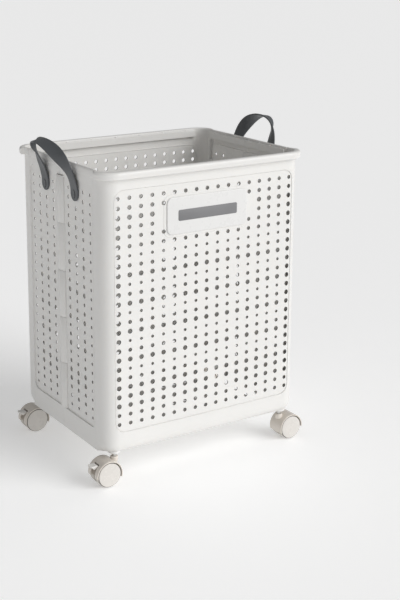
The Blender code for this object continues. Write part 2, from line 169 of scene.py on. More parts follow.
WHITE = plastic("white_polypropylene", (0.80, 0.79, 0.768), 0.34, grain=0.06, mottle=0.012, subsurface=0.06, hollow_shade_edge_highlight=0.02, flow=0.05)
# painted shade: near-black hole walls stand in for the shadow inside the holes
HOLE_SHADE = plastic("hole_wall_painted_shade", (0.075, 0.072, 0.068), 0.6, grain=0.1, mottle=0.05)
LABEL = plastic("label_plastic", (0.78, 0.775, 0.765), 0.30, grain=0.03, mottle=0.01, flow=0.03)
LABEL_BAR = plastic("label_bar", (0.20, 0.20, 0.205), 0.42, grain=0.08, mottle=0.05)
CREAM = plastic("cream_gloss", (0.74, 0.685, 0.62), 0.22, grain=0.02, mottle=0.02, coat=0.35, subsurface=0.05, flow=0.03)
WHEEL = plastic("wheel_face", (0.72, 0.69, 0.65), 0.27, grain=0.03, mottle=0.02, coat=0.2, flow=0.03)
TREAD = plastic("wheel_tread", (0.60, 0.57, 0.52), 0.5, grain=0.12, mottle=0.06)
# painted shade for gaps; no piece in this script uses it
DARK = plastic("dark_gap", (0.05, 0.047, 0.043), 0.7, grain=0.1, mottle=0.1)
LEVER = plastic("brake_white", (0.80, 0.78, 0.75), 0.24, grain=0.02, mottle=0.015, coat=0.3)
SOCKET = plastic("socket_plastic", (0.72, 0.71, 0.69), 0.4, grain=0.06, mottle=0.02)
STRAP = plastic("strap_grey", (0.088, 0.094, 0.100), 0.43, grain=0.22, mottle=0.08, bump_scale=1500.0, flow=0.06)
# painted shade: near-black colour for the strap slits' shaded openings
SLIT = plastic("strap_slit_painted_shade", (0.012, 0.012, 0.013), 0.6, grain=0.1, mottle=0.1)
STUD = plastic("stud_grey", (0.10, 0.105, 0.11), 0.38, grain=0.1, mottle=0.06)
STEEL = metal("plated_steel", (0.66, 0.65, 0.63), 0.24)


# painted shade: dark ring for the groove between wheel face and tread, standing in for the shadow in the gap under the
# hood
WHEEL_RING_SHADE = plastic("wheel_ring_painted_shade", (0.16, 0.145, 0.13), 0.5, grain=0.1, mottle=0.06)
# painted shade: a darkened copy of the cream hood colour
SHADE = plastic("inner_cream_painted_shade", (0.36, 0.31, 0.26), 0.5, grain=0.1, mottle=0.08)


# ------------------------------------------------------------------ mesh helpers
def make(name, verts, faces, mats, body, replaces=(), smooth=40.0, face_mats=None, bevel=0.0, merge=0.0):
    """A piece from points in millimetres, riding on a body."""
    mesh = bpy.data.meshes.new(name)
    mesh.from_pydata([tuple(c * MM for c in v) for v in verts], [], faces)
    mesh.update()
    for m in mats:
        mesh.materials.append(m)
    if face_mats:
        mesh.polygons.foreach_set("material_index", face_mats)
    bm = bmesh.new()
    bm.from_mesh(mesh)
    if merge:
        bmesh.ops.remove_doubles(bm, verts=bm.verts, dist=merge * MM)
    bmesh.ops.recalc_face_normals(bm, faces=bm.faces)
    bm.to_mesh(mesh)
    bm.free()
    mesh.shade_smooth()
    mesh.set_sharp_from_angle(angle=math.radians(smooth))
    obj = bpy.data.objects.new(name, mesh)
    bpy.context.scene.collection.objects.link(obj)
    if bevel:
        mod = obj.modifiers.new("edges", "BEVEL")
        mod.width = bevel * MM
        mod.segments = 3
        mod.limit_method = "ANGLE"
        mod.angle_limit = math.radians(35)
        mod.harden_normals = True
    if body:
        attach(obj, body)
    if replaces:
        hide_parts(*replaces)
    return obj


class Build:
    """Collects closed bodies into one mesh."""

    def __init__(self):
        self.verts, self.faces, self.mats = [], [], []

    def add(self, verts, faces, mat=0):
        base = len(self.verts)
        self.verts += [tuple(v) for v in verts]
        self.faces += [tuple(i + base for i in f) for f in faces]
        self.mats += [mat] * len(faces) if isinstance(mat, int) else list(mat)

    def loft(self, rings, mat=0, caps=True, closed=False):
        n = len(rings[0])
        verts = [p for ring in rings for p in ring]
        faces = []
        count = len(rings)
        for k in range(count if closed else count - 1):
            a, b = k * n, ((k + 1) % count) * n
            for i in range(n):
                j = (i + 1) % n
                faces.append((a + i, a + j, b + j, b + i))
        if caps and not closed:
            faces.append(tuple(range(n - 1, -1, -1)))
            faces.append(tuple(range((count - 1) * n, count * n)))
        self.add(verts, faces, mat)

    def prism(self, outline, place, low, high, mat=0):
        self.loft([[place(a, b, low) for a, b in outline], [place(a, b, high) for a, b in outline]], mat)

    def box(self, low, high, mat=0):
        (x0, y0, z0), (x1, y1, z1) = low, high
        self.loft([[(x0, y0, z0), (x1, y0, z0), (x1, y1, z0), (x0, y1, z0)], [(x0, y0, z1), (x1, y0, z1), (x1, y1, z1), (x0, y1, z1)]], mat)


def arc(cx, cy, r, a0, a1, n):
    return [(cx + r * math.cos(math.radians(a0 + (a1 - a0) * k / n)), cy + r * math.sin(math.radians(a0 + (a1 - a0) * k / n))) for k in range(n + 1)]


def rounded(x0, y0, x1, y1, r, n=7):
    return arc(x1 - r, y1 - r, r, 0, 90, n) + arc(x0 + r, y1 - r, r, 90, 180, n) + arc(x0 + r, y0 + r, r, 180, 270, n) + arc(x1 - r, y0 + r, r, 270, 360, n)


def inside_rounded(x, y, x0, y0, x1, y1, r):
    if not (x0 < x < x1 and y0 < y < y1):
        return False
    dx = max(x0 + r - x, x - (x1 - r), 0.0)
    dy = max(y0 + r - y, y - (y1 - r), 0.0)
    return dx * dx + dy * dy < r * r


def sheet_with_holes(build, domain, holes, loops, verticals, edges_h, depth_at, surface, thickness, cut=None, sides=16):
    """A moulded wall with round, chamfered holes, worked out flat and laid on surface(a, b, depth).

    domain is (a0, b0, a1, b1); holes are (a, b, r); loops are closed outlines that the mesh follows (steps);
    verticals and edges_h are extra lines at constant a or b. depth_at(a, b) is the surface's own relief.
    """
    pts, edges = [], []

    def loop(points):
        base = len(pts)
        pts.extend(Vector(p) for p in points)
        n = len(points)
        edges.extend((base + i, base + (i + 1) % n) for i in range(n))

    a0, b0, a1, b1 = domain
    loop([(a0, b0), (a1, b0), (a1, b1), (a0, b1)])
    for outline in loops:
        loop(outline)
    for a in verticals:
        base = len(pts)
        pts.extend((Vector((a, b0)), Vector((a, b1))))
        edges.append((base, base + 1))
    for b in edges_h:
        base = len(pts)
        pts.extend((Vector((a0, b)), Vector((a1, b))))
        edges.append((base, base + 1))
    chamfer = 0.42
    grid = {}
    rim_keys = {}
    for index, (a, b, r) in enumerate(holes):
        for ring_r, depth in ((r + chamfer, 0.0), (r, chamfer)):
            ring = [(a + ring_r * math.cos(2 * math.pi * (k + 0.5) / sides), b + ring_r * math.sin(2 * math.pi * (k + 0.5) / sides)) for k in range(sides)]
            loop(ring)
        grid.setdefault((int(a // 20), int(b // 20)), []).append((a, b, r))

    def near(a, b, reach):
        ia, ib = int(a // 20), int(b // 20)
        for da in (-1, 0, 1):
            for db in (-1, 0, 1):
                for ha, hb, hr in grid.get((ia + da, ib + db), ()):
                    d = math.hypot(a - ha, b - hb)
                    if d < hr + reach:
                        return d, hr
        return None

    flat, _, tris, *_ = geometry.delaunay_2d_cdt(pts, edges, [], 0, 1e-4, False)
    keep = []
    for tri in tris:
        ca = sum(flat[i].x for i in tri) / 3
        cb = sum(flat[i].y for i in tri) / 3
        hit = near(ca, cb, 0.0)
        if hit and hit[0] < hit[1] * 0.985:
            continue
        if cut and cut(ca, cb):
            continue
        keep.append(tuple(tri))
    used = sorted({i for tri in keep for i in tri})
    index = {old: new for new, old in enumerate(used)}
    n = len(used)
    front, back = [], []
    for i in used:
        a, b = flat[i].x, flat[i].y
        own = depth_at(a, b)
        hit = near(a, b, 0.3)
        extra = chamfer if hit and hit[0] < hit[1] + 0.1 else 0.0
        front.append(surface(a, b, own + extra))
        back.append(surface(a, b, own + thickness))
    faces = [tuple(index[i] for i in tri) for tri in keep]
    seen = {}
    for f in faces:
        for i in range(3):
            e = (f[i], f[(i + 1) % 3])
            seen[e] = seen.get(e, 0) + 1
    sides_f, mats = [], []
    for (i, j) in seen:
        if (j, i) in seen:
            continue
        sides_f.append((j, i, i + n, j + n))
        a, b = (flat[used[i]].x + flat[used[j]].x) / 2, (flat[used[i]].y + flat[used[j]].y) / 2
        # side faces round the holes take material 1, the painted shade of the hole walls
        mats.append(1 if near(a, b, 0.4) else 0)
    build.add(front + back, faces + [tuple(k + n for k in reversed(f)) for f in faces] + sides_f, [0] * (2 * len(faces)) + mats)


ROW_SIZES = [MEDIUM, 4.1, BIG, MEDIUM, MEDIUM, MEDIUM, SMALL, MEDIUM, BIG, SMALL, MEDIUM, BIG, SMALL, MEDIUM, BIG, SMALL, MEDIUM, BIG, SMALL, MEDIUM, BIG, BIG, 4.5, MEDIUM, MEDIUM]


def wall_holes(label):
    out = []
    for row in range(ROWS):
        z = ROW_Z0 + PITCH_Z * (ROWS - 1 - row)
        for col in range(COLS):
            if label and ((1 <= row <= 4 and 5 <= col <= 11) or (2 <= row <= 3 and col in (4, 12))):
                continue
            r = ROW_SIZES[row]
            if col in (0, COLS - 1) and 1 < row < ROWS - 2:
                r = BIG + 0.1
            out.append(((col - 8) * PITCH_X, z, r))
    return out


# ------------------------------------------------------------------ shells
ARC_LEN = math.pi / 2 * CORNER_R
S_FLAT = CX
S_END = CX + ARC_LEN + (CY - SEAM_Y)


def along(s):
    """Point and outward normal on the outer outline of the +Y shell, s from the middle of the back."""
    side = -1 if s < 0 else 1
    q = abs(s)
    crown = 1.3 * min(1.0, q / CX) ** 2
    if q <= CX:
        return (s, HALF_D - crown), (side * 0.008 * q / CX, 1.0)
    q -= CX
    if q <= ARC_LEN:
        a = q / CORNER_R
        n = (side * math.sin(a), math.cos(a))
        return (side * CX + n[0] * CORNER_R, CY + n[1] * CORNER_R - 1.3 * math.cos(a)), n
    q -= ARC_LEN
    return (side * HALF_W, CY - q), (side, 0.0)


def shell_surface(sy):
    def at(s, z, depth):
        (px, py), (nx, ny) = along(s)
        return (px - nx * depth, sy * (py - ny * depth), z)
    return at


CORNER_LINES = [sg * (CX + ARC_LEN * k / 14) for sg in (-1, 1) for k in range(15)]
SHELL_STATIONS = sorted(set([-S_END, S_END] + [0.0] + [sg * CX * k / 8 for sg in (-1, 1) for k in range(1, 8)] + CORNER_LINES + [sg * (S_END - 4.0) for sg in (-1, 1)]))
INSET = (-201.5, 104.0, 201.5, 568.5, 22.0)


def share_of(s):
    """0 where the skirt and rim are full, 1 at the seam."""
    q = abs(s) - (CX + ARC_LEN * 0.9)
    return min(1.0, max(0.0, q / 9.0))


def fillet_section():
    """Outer face of the skirt and bottom lip as (inset, height), then its inner face back up."""
    outer = [(18.5 * (1 - math.cos(math.radians(a))), 82.5 - 20.5 * math.sin(math.radians(a))) for a in range(0, 91, 9)]
    outer += [(24.0, 62.0), (28.0, 62.3), (28.4, 63.2), (28.2, 64.6), (27.2, 65.0)]
    inner = [(18.5 - (16.1) * math.cos(math.radians(a)), 82.5 - 17.5 * math.sin(math.radians(a))) for a in range(90, -1, -10)]
    return outer + inner


def plain_section():
    outer = [(0.0, 82.5 - 19.0 * k / 10) for k in range(11)]
    outer += [(0.4, 62.7), (0.9, 62.2), (1.4, 62.0), (1.9, 62.2), (2.4, 63.0)]
    inner = [(2.4, 63.2 + (82.5 - 63.2) * k / 9) for k in range(10)]
    return outer + inner


RIM_SECTION = [
    (2.45, 588.0), (2.45, 599.6), (2.0, 601.4), (0.6, 602.7), (-1.2, 603.0), (-5.6, 603.0), (-7.6, 602.6), (-9.4, 601.2), (-10.4, 599.0),
    (-10.5, 595.4), (-10.1, 594.6), (-10.1, 592.0), (-9.9, 590.4), (-9.1, 589.1), (-7.9, 588.6), (-6.6, 588.8), (-5.6, 590.0), (-2.2, 590.6), (0.05, 588.0),
]
RIM_PLAIN = [
    (2.45, 588.0), (2.45, 600.4), (2.1, 601.8), (1.4, 602.7), (0.8, 603.0), (0.2, 603.0), (-0.4, 602.8), (-0.9, 602.2), (-1.2, 601.2),
    (-1.4, 595.4), (-1.3, 594.6), (-1.3, 592.0), (-1.3, 590.4), (-1.2, 589.4), (-1.0, 588.8), (-0.7, 588.6), (-0.5, 588.5), (-0.2, 588.3), (0.05, 588.0),
]


NOTCH = [sg * x for sg in (-1, 1) for x in (39.45, 39.55, 70.45, 70.55)]


def swept(stations, full, plain, sy, notched=False):
    rings = []
    for s in sorted(set(stations + NOTCH)) if notched else stations:
        limit = 13.6 if notched and 39.5 < abs(s) < 70.5 else 99.0
        (px, py), (nx, ny) = along(s)
        t = share_of(s)
        t = t * t * (3 - 2 * t)
        ring = []
        for (d0, z0), (d1, z1) in zip(full, plain):
            d, z = min(limit, d0 + (d1 - d0) * t), z0 + (z1 - z0) * t
            ring.append((px - nx * d, sy * (py - ny * d), z))
        rings.append(ring)
    return rings


def build_shell(name, sy, label):
    b = Build()
    holes = wall_holes(label)
    x0, z0, x1, z1, r = INSET
    step_out = rounded(x0, z0, x1, z1, r)
    step_mid = rounded(x0 + 0.7, z0 + 0.7, x1 - 0.7, z1 - 0.7, r - 0.7)
    step_in = rounded(x0 + 1.6, z0 + 1.6, x1 - 1.6, z1 - 1.6, r - 1.6)
    loops = [step_out, step_mid, step_in]
    if label:
        loops += [rounded(-96.5, 467.0, 96.5, 548.4, 15.0), rounded(-95.7, 467.8, 95.7, 547.6, 14.2)]

    def depth_at(a, bb):
        if inside_rounded(a, bb, x0 + 0.69, z0 + 0.69, x1 - 0.69, z1 - 0.69, r - 0.7):
            if label and inside_rounded(a, bb, -95.71, 467.79, 95.71, 547.61, 14.2):
                return 0.25
            if not inside_rounded(a, bb, x0 + 1.59, z0 + 1.59, x1 - 1.59, z1 - 1.59, r - 1.6):
                return 1.9
            return 1.0
        return 0.0

    sheet_with_holes(b, (-S_END, 82.5, S_END, 589.0), holes, loops, [s for s in SHELL_STATIONS if abs(s) < S_END], [], depth_at, shell_surface(sy), WALL)
    b.loft(swept(SHELL_STATIONS, fillet_section(), plain_section(), sy, sy > 0))
    b.loft(swept(SHELL_STATIONS, RIM_SECTION, RIM_PLAIN, sy))
    # Slotted ledge inside the rim, with short ribs across the groove
    at = shell_surface(sy)
    stations = [s for s in SHELL_STATIONS if abs(s) < CX + 8]
    groove = [(2.3, 585.2), (9.4, 585.2), (9.9, 585.8), (9.9, 599.2), (9.5, 599.8), (8.5, 599.8), (8.1, 599.2), (8.1, 587.2), (2.3, 587.2)]
    b.loft([[at(s, z, d) for d, z in groove] for s in stations])
    for k in range(-3, 4):
        s = k * 58.0
        b.loft([[at(s + e, z, d) for d, z in ((2.3, 586.5), (8.4, 586.5), (8.4, 598.6), (2.3, 600.2))] for e in (-1.5, 1.5)])
    # Corner hinge knuckles and their webs
    for sx in (-1, 1):
        for k0, k1 in ((86.0, 119.8), (180.2, 299.8), (360.2, 479.8), (540.2, 582.0)):
            outline = [(4.2, -3.0), (4.2, 3.0)] + [(3.1 * math.cos(math.radians(a)), 3.1 * math.sin(math.radians(a))) for a in range(70, 291, 20)]
            inner = [(1.75 * math.cos(math.radians(a)), 1.75 * math.sin(math.radians(a))) for a in range(0, 360, 30)]
            b.prism(outline, lambda u, v, z: (sx * (AXIS_X + u), sy * (AXIS_Y + v), z), k0, k1)
        # foot rib that carries the caster socket
        b.loft([[(sx * (195 + 11.5 * math.cos(a)), sy * (154 + 11.5 * math.sin(a)), z) for a in [2 * math.pi * k / 28 for k in range(28)]] for z in (61.6, 65.6)])
    if sy > 0:
        for xa, xb in ((28.0, 39.7), (70.3, 82.0), (-39.7, -28.0), (-82.0, -70.3)):
            outline = [(151.5, 64.0), (151.5, 57.0)] + arc(156.0, 58.0, 4.4, 190, 350, 8) + [(160.5, 57.0), (160.5, 64.0)]
            b.prism(outline, lambda y, z, x: (x, y, z), xa, xb)
    obj = make(name, b.verts, b.faces, [WHITE, HOLE_SHADE], name.replace("_visual", ""), [name.replace("_visual", "")], smooth=33, face_mats=b.mats)
    return obj


build_shell("back_shell_visual", 1, False)
build_shell("front_shell_visual", -1, True)

# ------------------------------------------------------------------ blank label plaque with a plain bar
b = Build()
outer = [(90 - 12, 542.8 - 12), (-90 + 12, 542.8 - 12), (-90 + 12, 472.6 + 12), (90 - 12, 472.6 + 12)]


def plaque(inset, y):
    return [(x, y, z) for x, z in rounded(-90 + inset, 472.6 + inset, 90 - inset, 542.8 - inset, 12 - inset * 0.8, 8)]


b.loft([plaque(0.0, -HALF_D + 0.1), plaque(0.0, -HALF_D - 0.9), plaque(0.3, -HALF_D - 1.4), plaque(0.9, -HALF_D - 1.7), plaque(2.2, -HALF_D - 1.8)])
make("label_plaque", b.verts, b.faces, [LABEL], "front_shell", ["label_plate"], smooth=40)
b = Build()


def bar(inset, y):
    return [(x, y, z) for x, z in rounded(-66 + inset, 497.2 + inset, 66 - inset, 518.2 - inset, 3.2 - inset, 5)]


b.loft([bar(0.0, -HALF_D - 1.6), bar(0.0, -HALF_D - 1.95), bar(0.25, -HALF_D - 2.1)])
make("label_bar", b.verts, b.faces, [LABEL_BAR], "front_shell", smooth=40)


# ------------------------------------------------------------------ side leaves
def leaf_holes(outer_small=True):
    out = []
    for row in range(ROWS):
        z = ROW_Z0 + PITCH_Z * (ROWS - 1 - row)
        for y in (31.3, 60.0, 88.6, 116.0):
            if y == 60.0 and row < 2:
                continue
            if y == 116.0:
                r = 2.95
            elif row in (4, 8, 11, 14, 17, 20, 21):
                r = 4.9
            elif row in (0, 6, 9, 12, 15, 18, 24):
                r = 3.15
            else:
                r = 3.95
            out.append((AXIS_Y - y, z, r))
    return out


def build_leaf(body, sx, sy, owned):
    b = Build()

    def place(u, v, z):
        return (sx * (AXIS_X + u), sy * (AXIS_Y - v), z)

    z0, z1, corner = 103.5, 574.0, 15.0
    step_out = rounded(V0 + 1.2, z0, 400.0, z1, corner)
    step_in = rounded(V0 + 1.9, z0 + 0.7, 400.7, z1 - 0.7, corner - 0.7)

    def depth_at(a, bb):
        if inside_rounded(a, bb, V0 + 1.89, z0 + 0.69, 400.0, z1 - 0.69, corner - 0.7):
            return 2.4
        return 0.0

    def clip(outline):
        return [(min(a, V_BAND + 3.0), bb) for a, bb in outline]

    def corners_only(outline):
        pts = []
        for a, bb in outline:
            q = (min(a, V_BAND), bb)
            if not pts or q != pts[-1]:
                pts.append(q)
        return pts

    gap = [(V_FIELD, 104.7), (V_BAND, 104.7), (V_BAND, 572.3), (V_FIELD, 572.3)]
    sheet_with_holes(b, (V0, 64.0, V_BAND, 589.0), leaf_holes(), [corners_only(step_out), corners_only(step_in), gap], [V_BAND - 40, 60.0], [], depth_at,
                     lambda a, bb, d: place(6.0 - d, a, bb), 1.6, cut=lambda a, bb: a > V_FIELD and 104.7 < bb < 572.3)
    # rounded bottom edge
    foot = [(6.0, 64.2), (5.8, 63.0), (5.2, 62.3), (4.6, 62.0), (4.0, 62.3), (3.6, 63.0), (3.6, 64.2)]
    b.loft([[place(u, v, z) for u, z in foot] for v in (V0, V_BAND)])
    # top rail: a box section with a groove that takes slots and ribs
    rail = [(3.6, 588.0), (6.0, 588.0), (6.9, 588.8), (7.0, 591.0), (6.8, 600.4), (6.3, 602.0), (5.2, 603.0), (2.6, 603.0), (1.7, 602.2), (1.5, 600.8), (1.4, 589.0),
            (-3.2, 589.0), (-3.3, 598.8), (-3.6, 599.6), (-4.6, 599.7), (-5.2, 599.2), (-5.3, 586.6), (-4.9, 586.0), (3.4, 586.0)]
    b.loft([[place(u, v, z) for u, z in rail] for v in (V0, V_BAND)])
    for k in range(4):
        v = 22.0 + k * 36.0
        b.loft([[place(u, v + e, z) for u, z in ((1.6, 588.5), (1.6, 600.4), (-3.4, 598.6), (-3.4, 588.5))] for e in (-1.4, 1.4)])
    # middle hinge strip
    hump = [(3.2, -16.5), (3.7, -14.6), (5.6, -13.2), (7.4, -9.0), (8.9, -4.2), (9.8, -1.4), (9.9, 0.0), (9.8, 1.4), (8.9, 4.2), (7.4, 9.0), (5.9, 12.4), (5.2, 13.7), (4.2, STRIP), (2.8, STRIP), (2.4, 12.0), (2.4, -14.0), (1.6, -16.5)]
    for k in owned:
        k0, k1 = 105.0 + SEG * k + 0.2, 105.0 + SEG * (k + 1) - 0.2
        rings = []
        for z, inset in ((k0, 0.7), (k0 + 0.25, 0.25), (k0 + 0.8, 0.0), (k1 - 0.8, 0.0), (k1 - 0.25, 0.25), (k1, 0.7)):
            ring = []
            for u, dv in hump:
                m = min(dv, STRIP - inset) if dv > 12 else dv
                ring.append(place(u - (inset if u > 3.4 else 0.0), AXIS_Y + m, z))
            rings.append(ring)
        b.loft(rings)
    # corner knuckle arms
    for k0, k1 in ((120.2, 179.8), (300.2, 359.8), (480.2, 539.8)):
        outline = [(3.1 * math.cos(math.radians(a)), 3.1 * math.sin(math.radians(a))) for a in range(110, 361, 20)] + [(3.1, V0 + 1.6), (0.9, V0 + 1.6), (-0.6, 3.6)]
        b.prism(outline, place, k0, k1)
    b.prism([(-15, 40), (4.2, 40), (4.2, V_BAND), (-15, V_BAND)], place, 66.5, 69.0)
    for v in (52.0, 84.0, 116.0):
        b.loft([[place(u, v + e, z) for u, z in ((4.0, 68.6), (-13.0, 68.6), (4.0, 84.0))] for e in (-1.0, 1.0)])
    make(f"{body}_visual", b.verts, b.faces, [WHITE, HOLE_SHADE], body, [body], smooth=33, face_mats=b.mats)


for leaf in (("left_rear_leaf", -1, 1, (0, 2, 4)), ("left_front_leaf", -1, -1, (1, 3)), ("right_rear_leaf", 1, 1, (0, 2, 4)), ("right_front_leaf", 1, -1, (1, 3))):
    build_leaf(*leaf)

# ------------------------------------------------------------------ floor panel: ribbed tray
b = Build()
floor_holes = [(x * 30.0, y * 30.0 - 5.5, 5.0) for x in range(-5, 6) for y in range(-4, 5) if not (x == 0 and y == -4) and not (x == 0 and y == -3)]
floor_holes.append((0.0, -108.0, 13.7))
tray = rounded(-177, -134, 177, 123, 10)
tray_in = rounded(-176, -133, 176, 122, 9)


def floor_depth(x, y):
    return 1.4 if inside_rounded(x, y, -176.01, -133.01, 176.01, 122.01, 9) else 0.0


sheet_with_holes(b, (-185, -142, 185, 131), floor_holes, [tray, tray_in], [], [], floor_depth, lambda x, y, d: (x, y, 61.0 - d), 2.2, sides=20)
for lo, hi in (((-185, -142), (185, -139.8)), ((-185, 128.8), (185, 131)), ((-185, -142), (-182.8, 131)), ((182.8, -142), (185, 131))):
    b.box((lo[0], lo[1], 55.5), (hi[0], hi[1], 60.2))
for x in (-135, -75, 75, 135):
    b.box((x - 1, -140, 55.6), (x + 1, 129, 58.6))
for y in (-80, -20, 40, 100):
    b.box((-183, y - 1, 55.6), (183, y + 1, 58.4))
for s in (-1, 1):
    lo, hi = sorted((s * 40.2, s * 69.8))
    outline = [(129.0, 56.2), (150.0, 55.4)] + arc(156.0, 58.0, 3.4, 235, 395, 8) + [(154.0, 61.0), (129.0, 61.0)]
    b.prism(outline, lambda y, z, x: (x, y, z), lo, hi)
make("floor_visual", b.verts, b.faces, [WHITE, HOLE_SHADE], "floor_panel", ["floor_panel"], smooth=33, face_mats=b.mats)


# ------------------------------------------------------------------ strap handles
STRAP_W, STRAP_T, STRAP_Y = 29.0, 2.8, 60.0


def strap_frames(sx, steps, reach, peak, skew):
    face = AXIS_X + 3.6 + 0.3 + STRAP_T / 2
    points = []
    for i in range(steps + 1):
        t = i / steps
        if t < 0.22 or t > 0.78:
            w = (t if t < 0.5 else 1 - t) / 0.22
            y = -STRAP_Y if t < 0.5 else STRAP_Y
            z = 546.0 + 22.0 * w
        else:
            a = math.pi * (t - 0.22) / 0.56
            y = -STRAP_Y * math.cos(a)
            z = 568.0 + peak * math.sin(a) ** 0.82
        q = min(1.0, max(0.0, (z - 548.0) / 44.0))
        clear = 8.0 * q * q * (3 - 2 * q)
        x = face + clear + reach * max(0.0, (z - 578.0) / (peak - 10.0)) ** 1.25
        swing = math.sin(math.pi * min(1.0, max(0.0, (t - 0.22) / 0.56)))
        points.append(Vector((sx * x, y + skew * swing * swing, z)))
    for _ in range(3):
        points = [points[0]] + [(points[i - 1] + points[i] * 2 + points[i + 1]) / 4 for i in range(1, len(points) - 1)] + [points[-1]]
    frames = []
    for i, p in enumerate(points):
        a, c = points[max(i - 1, 0)], points[min(i + 1, len(points) - 1)]
        tangent = (c - a).normalized()
        mixed = abs(tangent.y) ** 1.7
        arch = tangent.cross(Vector((-1, 0, 0)))
        if arch.z < 0:
            arch = -arch
        normal = Vector((sx, 0, 0)) * (1 - mixed) + Vector((sx * 0.22, arch.y, arch.z)) * mixed
        normal = (normal - tangent * normal.dot(tangent)).normalized()
        frames.append((p, tangent, normal))
    return frames


def strap_ring(p, tangent, normal, half, thick=STRAP_T):
    across = tangent.cross(normal)
    h, e = thick / 2, min(0.9, half * 0.5)
    prof = [(-half, -h + e), (-half + e * 0.3, -h + e * 0.3), (-half + e, -h), (half - e, -h), (half - e * 0.3, -h + e * 0.3), (half, -h + e),
            (half, h - e), (half - e * 0.3, h - e * 0.3), (half - e, h), (half - 2.4 if half > 6 else half * 0.5, h - 0.0), (0.0, h - (0.35 if half > 6 else 0.0)), (-half + 2.4 if half > 6 else -half * 0.5, h), (-half + e, h), (-half + e * 0.3, h - e * 0.3), (-half, h - e)]
    return [p + across * w + normal * t for w, t in prof]


def build_strap(side, sx, reach, peak, skew):
    frames = strap_frames(sx, 96, reach, peak, skew)
    b = Build()
    rings = []
    first, last = frames[0], frames[-1]
    for s in (0.02, 0.1, 0.22, 0.4, 0.6, 0.8):
        p, tangent, normal = first
        rings.append(strap_ring(p - tangent * (STRAP_W / 2) * (1 - s), tangent, normal, STRAP_W / 2 * math.sqrt(1 - (1 - s) ** 2)))
    for i, (p, tangent, normal) in enumerate(frames):
        t = i / (len(frames) - 1)
        half = STRAP_W / 2 - 2.2 * math.sin(math.pi * t) ** 2
        rings.append(strap_ring(p, tangent, normal, half))
    for s in (0.8, 0.6, 0.4, 0.22, 0.1, 0.02):
        p, tangent, normal = last
        rings.append(strap_ring(p + tangent * (STRAP_W / 2) * (1 - s), tangent, normal, STRAP_W / 2 * math.sqrt(1 - (1 - s) ** 2)))
    b.loft(rings)
    strap = make(f"{side}_strap_handle", b.verts, b.faces, [STRAP], None, [f"{side}_strap"], smooth=50)
    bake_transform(strap)
    # S-shaped keyhole slits, drawn as thin near-black ribbons on the strap as painted shade for the openings, and the
    # stud that each one hooks on
    for where, sy in (("rear", 1), ("front", -1)):
        b = Build()
        x = AXIS_X + 3.9 + STRAP_T
        line = []
        for k in range(17):
            t = k / 16
            line.append((sy * STRAP_Y + 3.2 * math.sin((t - 0.5) * 2 * math.pi) * (1 if sx < 0 else -1), 536.5 + 29.0 * t))
        rings = []
        for k, (y, z) in enumerate(line):
            a, c = line[max(k - 1, 0)], line[min(k + 1, 16)]
            dy, dz = c[0] - a[0], c[1] - a[1]
            length = math.hypot(dy, dz)
            ny, nz = -dz / length, dy / length
            w = 1.25 * math.sqrt(max(0.05, 1 - (2 * k / 16 - 1) ** 4))
            rings.append([(sx * (x - 0.5), y + ny * w, z + nz * w), (sx * (x + 0.08), y + ny * w * 0.8, z + nz * w * 0.8), (sx * (x + 0.08), y - ny * w * 0.8, z - nz * w * 0.8), (sx * (x - 0.5), y - ny * w, z - nz * w)])
        b.loft(rings)
        make(f"{side}_{where}_slit", b.verts, b.faces, [SLIT], f"{side}_{where}_leaf", smooth=50)
        b = Build()
        cy, cz = sy * STRAP_Y, 541.5
        prof = [(0.01, 0.14), (1.6, 0.14), (2.4, 0.05), (2.7, -0.3), (2.7, -0.8)]
        b.loft([[(sx * (x + h), cy + r * math.cos(2 * math.pi * k / 20), cz + r * math.sin(2 * math.pi * k / 20)) for k in range(20)] for r, h in reversed(prof)])
        make(f"{side}_{where}_stud_head", b.verts, b.faces, [STUD], f"{side}_{where}_leaf", smooth=50)


build_strap("left", -1, 29.0, 72.0, 9.0)
build_strap("right", 1, 24.0, 81.0, -5.0)


# ------------------------------------------------------------------ casters
TRAIL, WHEEL_R, HOOD_R = 19.0, 24.5, 27.5


def lathe(b, profile, cx, cz, sides, place, mats):
    n = len(profile)
    verts, faces, fm = [], [], []
    for k in range(sides):
        a = 2 * math.pi * k / sides
        verts += [place(cx + r * math.cos(a), y, cz + r * math.sin(a)) for r, y in profile]
    for k in range(sides):
        p, q = k * n, ((k + 1) % sides) * n
        for i in range(n):
            j = (i + 1) % n
            faces.append((p + i, p + j, q + j, q + i))
            fm.append(mats[i])
    b.add(verts, faces, fm)


